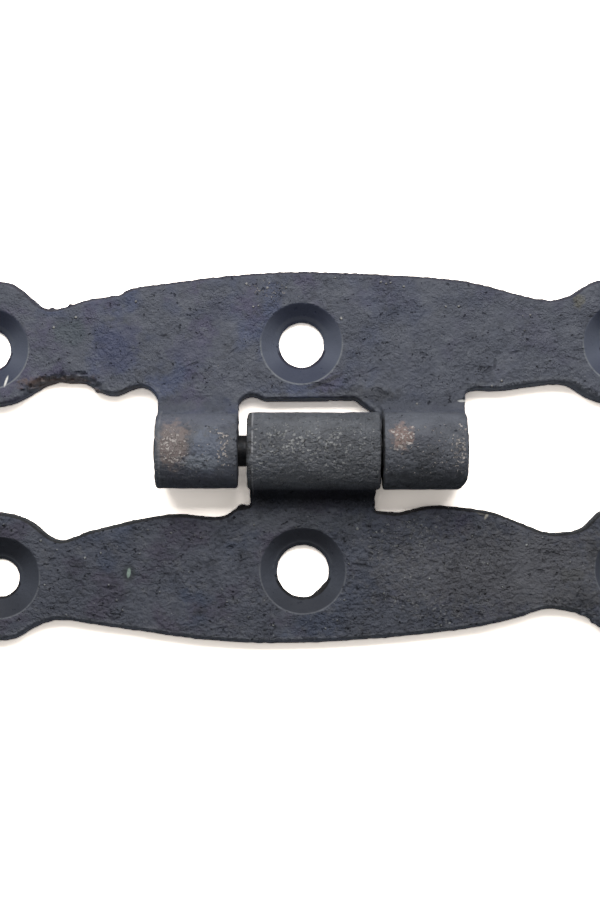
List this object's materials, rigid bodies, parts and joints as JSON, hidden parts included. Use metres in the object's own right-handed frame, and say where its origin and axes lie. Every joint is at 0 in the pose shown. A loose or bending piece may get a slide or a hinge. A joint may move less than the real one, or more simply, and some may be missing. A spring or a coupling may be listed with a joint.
{
  "type": "surface hinge",
  "caption": "Small black cast-iron surface hinge: wavy strap leaves with round lobes, joined by a pin through knuckles, with countersunk screw holes.",
  "frame": {"origin": "middle of the footprint, on the back faces that lie on the surface", "axes": "+X along the pin, +Y across the leaves towards the two-knuckle leaf, +Z out of the surface, towards the front"},
  "size_m": [0.077, 0.0375, 0.0077],
  "materials": {
    "black_iron": "rough cast, blackened",
    "dark_pin": "blackened steel"
  },
  "bodies": {
    "two_knuckle_side": {"two_knuckle_leaf": "black_iron", "hinge_pin": "dark_pin"},
    "one_knuckle_side": {"one_knuckle_leaf": "black_iron"}
  },
  "joints": [
    {"name": "leaf_swing", "type": "hinge", "parent": "two_knuckle_side", "child": "one_knuckle_side", "pos_m": [-0.00021, 0.0004, 0.00385], "axis": [-1, 0, 0], "range_deg": [-85, 185]}
  ]
}
